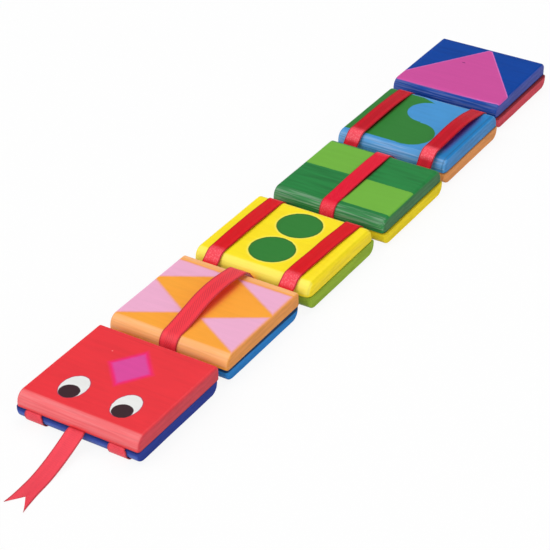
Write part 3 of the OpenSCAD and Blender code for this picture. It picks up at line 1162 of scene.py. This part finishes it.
def tongue(cloth):
    """The forked ribbon in the head's front seam, coming down to the table."""
    low, _ = block_box(1)
    mouth_z = SEAM_Z_MM - POCKET_H_MM
    fall = mouth_z + STRAP_GAP_MM
    slope = math.degrees(math.atan(TONGUE_CURVE * fall / TONGUE_DROP_MM))
    route = [Vector((-TAIL_MM, mouth_z + STRAP_OFF_MM))]
    route += [Vector((-p.x, p.y)) for p in arc((0, mouth_z), STRAP_OFF_MM, 90, 90 + slope,
                                               TONGUE_STEP_DEG)]
    for k in range(1, ROUTE_STEPS + 1):
        share = k / ROUTE_STEPS
        y = share * TONGUE_DROP_MM + STRAP_OFF_MM * math.sin(math.radians(slope)) * (1 - share)
        route.append(Vector((y, STRAP_T_MM / 2 + fall * (1 - share) ** TONGUE_CURVE)))
    route.append(Vector((TONGUE_REACH_MM + RIGHT_TIP_MORE_MM / 2, STRAP_T_MM / 2)))
    along = stations(route, TONGUE_STATION_MM)
    whole = along[-1][2]
    flare_start = whole - TONGUE_FLARE_MM
    head_start = TONGUE_W_MM / 2 * math.sin(math.radians(TONGUE_TURN_DEG))
    aside = Matrix.Rotation(math.radians(TONGUE_TURN_DEG), 3, "Z")
    mouth = Vector((HEAD_MIDDLE_X, low.y - head_start * MM, 0))

    def flare(at):
        return max(0.0, (at - flare_start) / (whole - flare_start))

    def half_width(at):
        spread = (TONGUE_TIP_W_MM - TONGUE_W_MM) / 2 - TONGUE_SPREAD_MM
        in_pocket = TONGUE_W_MM / 2 - STRAP_GAP_MM
        free = smooth_step(at, TAIL_MM, TAIL_MM + FREE_AFTER_MM)
        return in_pocket + TONGUE_SPREAD_MM * free + spread * flare(at) ** FLARE_POWER

    def place(u, w, station):
        point, direction, at = station
        share = u / half_width(at)
        notch = FORK_MM * (1 - abs(share)) ** FORK_ROUND
        y = point.x + (RIGHT_TIP_MORE_MM / 2 * share - notch) * flare(at) ** FORK_POWER
        z = point.y + TIPS_UP_MM * flare(at) ** TIPS_UP_POWER * share ** 2
        x = u + TONGUE_TIP_ASIDE_MM * flare(at) ** 2
        return mouth + aside @ Vector((x * MM, -(y - direction.y * w) * MM,
                                       (z + direction.x * w) * MM))

    piece = ribbon_piece("forked_tongue_ribbon", along, half_width, cloth, place)
    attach(piece, "block_1")
    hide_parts("forked_tongue")


# The studio

# The photograph's viewpoint: its azimuth, elevation and roll, how far it is from the spot in
# the middle of the frame, and the lens and sensor in mm
VIEW_DEG = (31.14, 32.89, 0.23)
VIEW_FROM_MM = 880.8
VIEW_MIDDLE_MM = (1.31, -20.88, 0.0)
LENS_MM = 127.15
SENSOR_MM = 36.0
CLIP_START = 0.01
# A round white table whose edge turns up, in metres, and how plainly white it shows
TABLE_R = 6.0
TABLE_SIDES = 64
BACKDROP_H = 1.7
TABLE_WHITE = 0.9
TABLE_PAINT = (0.92, 0.92, 0.92, 1)
TABLE_ROUGHNESS = 0.9
TABLE_GLOSS = 0.1
# It lies this far under the frame's floor, clear of the straps
TABLE_DROP = 0.00003
WORLD_LIGHT = 0.12
# Each softbox: its direction, its distance and width in metres, and its watts
SOFTBOXES = {
    "big_softbox": ((-0.43, -0.50, 0.75), 4.0, 4.2, 105.0),
    "side_softbox": ((0.85, -0.35, 0.40), 2.6, 2.4, 26.0),
    "top_softbox": ((0.0, 0.40, 1.0), 3.0, 2.0, 36.0),
    "front_softbox": ((0.0, -0.80, 0.60), 2.5, 1.6, 8.0),
}


def camera():
    azimuth, elevation, roll = (math.radians(angle) for angle in VIEW_DEG)
    distance = VIEW_FROM_MM * MM
    target = Vector(VIEW_MIDDLE_MM) * MM
    back = Vector((math.sin(azimuth) * math.cos(elevation),
                   -math.cos(azimuth) * math.cos(elevation), math.sin(elevation)))
    right = Vector((math.cos(azimuth), math.sin(azimuth), 0))
    up = back.cross(right)
    tilted_right = right * math.cos(roll) + up * math.sin(roll)
    tilted_up = up * math.cos(roll) - right * math.sin(roll)
    data = bpy.data.cameras.new("camera")
    data.sensor_width = SENSOR_MM
    data.lens = LENS_MM
    data.clip_start = CLIP_START
    made = in_scene("camera", data)
    place = Matrix((tilted_right, tilted_up, back)).transposed().to_4x4()
    place.translation = target + back * distance
    made.matrix_world = place
    bpy.context.scene.camera = made


def lamp(name, direction, distance, size, energy):
    """A square softbox that faces the middle of the row."""
    data = bpy.data.lights.new(name, "AREA")
    data.shape = "SQUARE"
    data.size = size
    data.energy = energy
    made = in_scene(name, data)
    way = Vector(direction).normalized()
    made.location = way * distance
    made.rotation_mode = "QUATERNION"
    made.rotation_quaternion = way.to_track_quat("Z", "Y")


def seen_rays(s):
    """1 for the rays that show the background: from the camera, in a gloss or through glass."""
    rays = s.add("ShaderNodeLightPath").outputs
    return s.fold("MAXIMUM", [rays["Is Camera Ray"], rays["Is Glossy Ray"],
                              rays["Is Transmission Ray"]])


def table_material():
    """A white table. It shows mostly as plain white, with a share of its own light and shadow."""
    s = Shading("white_table")
    s.shader.inputs["Base Color"].default_value = TABLE_PAINT
    s.shader.inputs["Roughness"].default_value = TABLE_ROUGHNESS
    s.shader.inputs["Specular IOR Level"].default_value = TABLE_GLOSS
    white = s.add("ShaderNodeEmission")
    white.inputs["Strength"].default_value = 1.0
    mixed = s.add("ShaderNodeMixShader")
    s.feed(mixed.inputs[0], s.times(seen_rays(s), TABLE_WHITE))
    s.tree.links.new(s.shader.outputs[0], mixed.inputs[1])
    s.tree.links.new(white.outputs[0], mixed.inputs[2])
    s.tree.links.new(mixed.outputs[0], s.tree.nodes["Material Output"].inputs["Surface"])
    return s.material


def studio():
    bm = bmesh.new()
    bmesh.ops.create_circle(bm, cap_ends=True, segments=TABLE_SIDES, radius=TABLE_R)
    edge = bmesh.ops.extrude_edge_only(bm, edges=bm.edges[:])["geom"]
    bmesh.ops.translate(bm, vec=(0, 0, BACKDROP_H),
                        verts=[v for v in edge if isinstance(v, bmesh.types.BMVert)])
    floor = new_object("table_top", bm, table_material())
    floor.location = (0, 0, -TABLE_DROP)

    world = bpy.data.worlds.new("studio")
    bpy.context.scene.world = world
    world.use_nodes = True
    sky = world.node_tree.nodes["Background"]
    sky.inputs["Color"].default_value = (1, 1, 1, 1)
    sky.inputs["Strength"].default_value = WORLD_LIGHT
    for name, light in SOFTBOXES.items():
        lamp(name, *light)
    bpy.context.scene.view_settings.view_transform = "Standard"


camera()
studio()
for number in BLOCKS:
    board(number, "top")
    board(number, "bottom")
cloths = {name: ribbon_material(name + "_ribbon", *look) for name, look in RIBBONS.items()}
for junction in JUNCTIONS:
    for side in SIDES:
        strap(junction, side, cloths)
tongue(cloths["tongue_red"])
